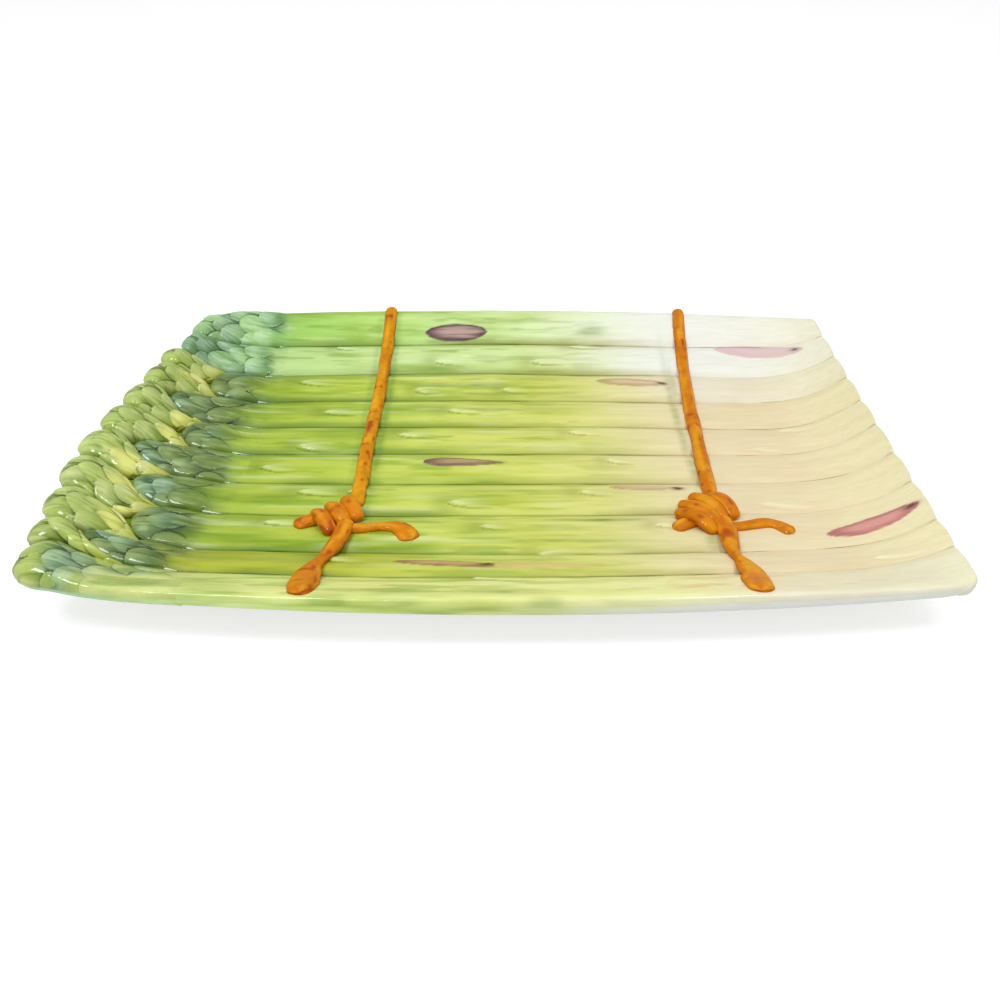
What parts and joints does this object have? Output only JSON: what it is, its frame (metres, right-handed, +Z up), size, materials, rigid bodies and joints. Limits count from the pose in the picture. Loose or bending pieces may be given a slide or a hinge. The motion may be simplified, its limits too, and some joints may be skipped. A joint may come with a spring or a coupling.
{
  "type": "asparagus platter",
  "caption": "Shallow glazed ceramic platter shaped as a bundle of asparagus spears, with scaled heads along one end, curved cut ends at the other and two orange ties across it.",
  "frame": {"origin": "centre of the platter's outline, on the surface it stands on", "axes": "+X along the spears toward their cut ends, +Y toward the back rim, +Z up"},
  "size_m": [0.3598, 0.251, 0.0348],
  "materials": {
    "white_glaze": "glossy clear glaze over white",
    "bare_foot": "unglazed and matt, where it stood in the kiln",
    "stalk_glaze": "glossy, brushed yellow green fading to cream and white at the cut ends, with purple bract marks",
    "spear_head_glaze": "glossy dark blue green, thin and paler on the scale edges",
    "rim_head_glaze": "glossy yellow green, yellow in the hollows between scales",
    "tie_glaze": "glossy burnt orange, darker in the pits"
  },
  "bodies": {
    "root": {"dish_body": "white_glaze", "foot_ring": "bare_foot", "stalk_01": "stalk_glaze", "stalk_02": "stalk_glaze", "stalk_03": "stalk_glaze", "stalk_04": "stalk_glaze", "stalk_05": "stalk_glaze", "stalk_06": "stalk_glaze", "stalk_07": "stalk_glaze", "stalk_08": "stalk_glaze", "stalk_09": "stalk_glaze", "stalk_10": "stalk_glaze", "spear_head_01": "spear_head_glaze", "spear_head_02": "spear_head_glaze", "spear_head_03": "spear_head_glaze", "spear_head_04": "spear_head_glaze", "spear_head_05": "spear_head_glaze", "spear_head_06": "spear_head_glaze", "spear_head_07": "spear_head_glaze", "spear_head_08": "spear_head_glaze", "spear_head_09": "spear_head_glaze", "spear_head_10": "spear_head_glaze", "rim_head_02": "rim_head_glaze", "rim_head_03": "rim_head_glaze", "rim_head_04": "rim_head_glaze", "rim_head_05": "rim_head_glaze", "rim_head_06": "rim_head_glaze", "rim_head_07": "rim_head_glaze", "rim_head_08": "rim_head_glaze", "rim_head_09": "rim_head_glaze", "left_tie_cord": "tie_glaze", "left_tie_knot": "tie_glaze", "left_tie_nub": "tie_glaze", "left_tie_side_end": "tie_glaze", "left_tie_front_end": "tie_glaze", "right_tie_cord": "tie_glaze", "right_tie_knot": "tie_glaze", "right_tie_nub": "tie_glaze", "right_tie_side_end": "tie_glaze", "right_tie_front_end": "tie_glaze"}
  },
  "joints": []
}
